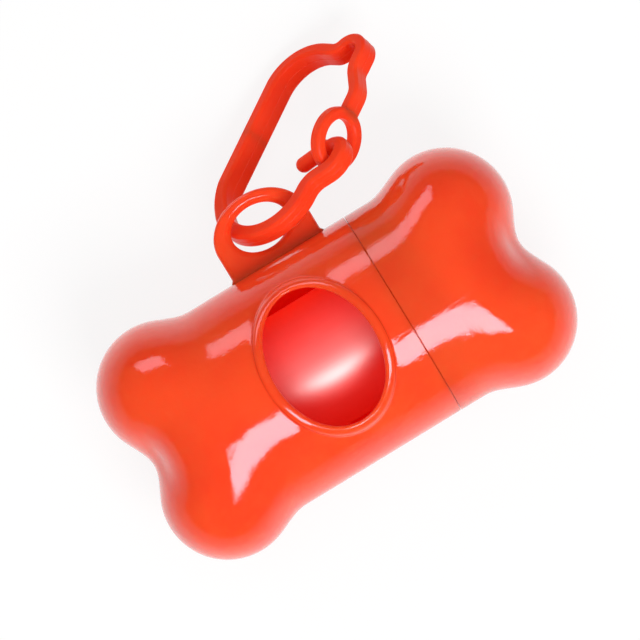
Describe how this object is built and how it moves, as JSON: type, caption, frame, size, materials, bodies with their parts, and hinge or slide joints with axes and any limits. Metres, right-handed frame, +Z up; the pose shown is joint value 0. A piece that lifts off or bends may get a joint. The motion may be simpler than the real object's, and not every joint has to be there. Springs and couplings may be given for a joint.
{
  "type": "dog waste bag dispenser",
  "caption": "Bone-shaped plastic case with a pull-off end cap and an oval window, holding a bag roll, with a strap clip through its hanging tab.",
  "frame": {"origin": "on the surface that the bone lies on, under the middle of its length and its axis", "axes": "+X along the bone towards the cap, +Y towards the hanging tab, +Z up through the window"},
  "size_m": [0.0832, 0.0737, 0.0415],
  "materials": {
    "shell_plastic": "glossy red-orange moulded plastic",
    "clip_plastic": "satin-gloss red-orange moulded plastic",
    "bag_film": "thin satin film wound in a roll",
    "core_card": "plain matt card tube"
  },
  "bodies": {
    "case": {"main_case": "shell_plastic"},
    "cap": {"end_cap": "shell_plastic"},
    "roll": {"bag_film": "bag_film", "roll_core": "core_card"},
    "clip_arm": {"clip_hook_arm": "clip_plastic"},
    "clip_spine": {"clip_frame": "clip_plastic"},
    "gate": {"clip_gate": "clip_plastic"}
  },
  "joints": [
    {"name": "cap_pull", "type": "slide", "parent": "case", "child": "cap", "axis": [1, 0, 0], "range_m": [0, 0.04]},
    {"name": "roll_spin", "type": "hinge", "parent": "case", "child": "roll", "pos_m": [0, 0, 0.01535], "axis": [1, 0, 0], "continuous": true},
    {"name": "clip_swing", "type": "hinge", "parent": "case", "child": "clip_arm", "pos_m": [-0.001, 0.025, 0.02165], "axis": [0.5609, -0.4253, 0.7103], "range_deg": [0, 145]},
    {"name": "clip_squeeze", "type": "hinge", "parent": "clip_arm", "child": "clip_spine", "pos_m": [-0.00402, 0.03193, 0.01235], "axis": [0.2329, -0.7422, -0.6284], "range_deg": [0, 7.56]},
    {"name": "gate_open", "type": "hinge", "parent": "clip_spine", "child": "gate", "pos_m": [0.0304, 0.04421, 0.0106], "axis": [0.2329, -0.7422, -0.6284], "range_deg": [0, 12], "stiffness_Nm_per_rad": 0.05}
  ],
  "couplings": [
    {"joint": "clip_squeeze", "follows": "gate_open", "ratio": 0.63}
  ]
}
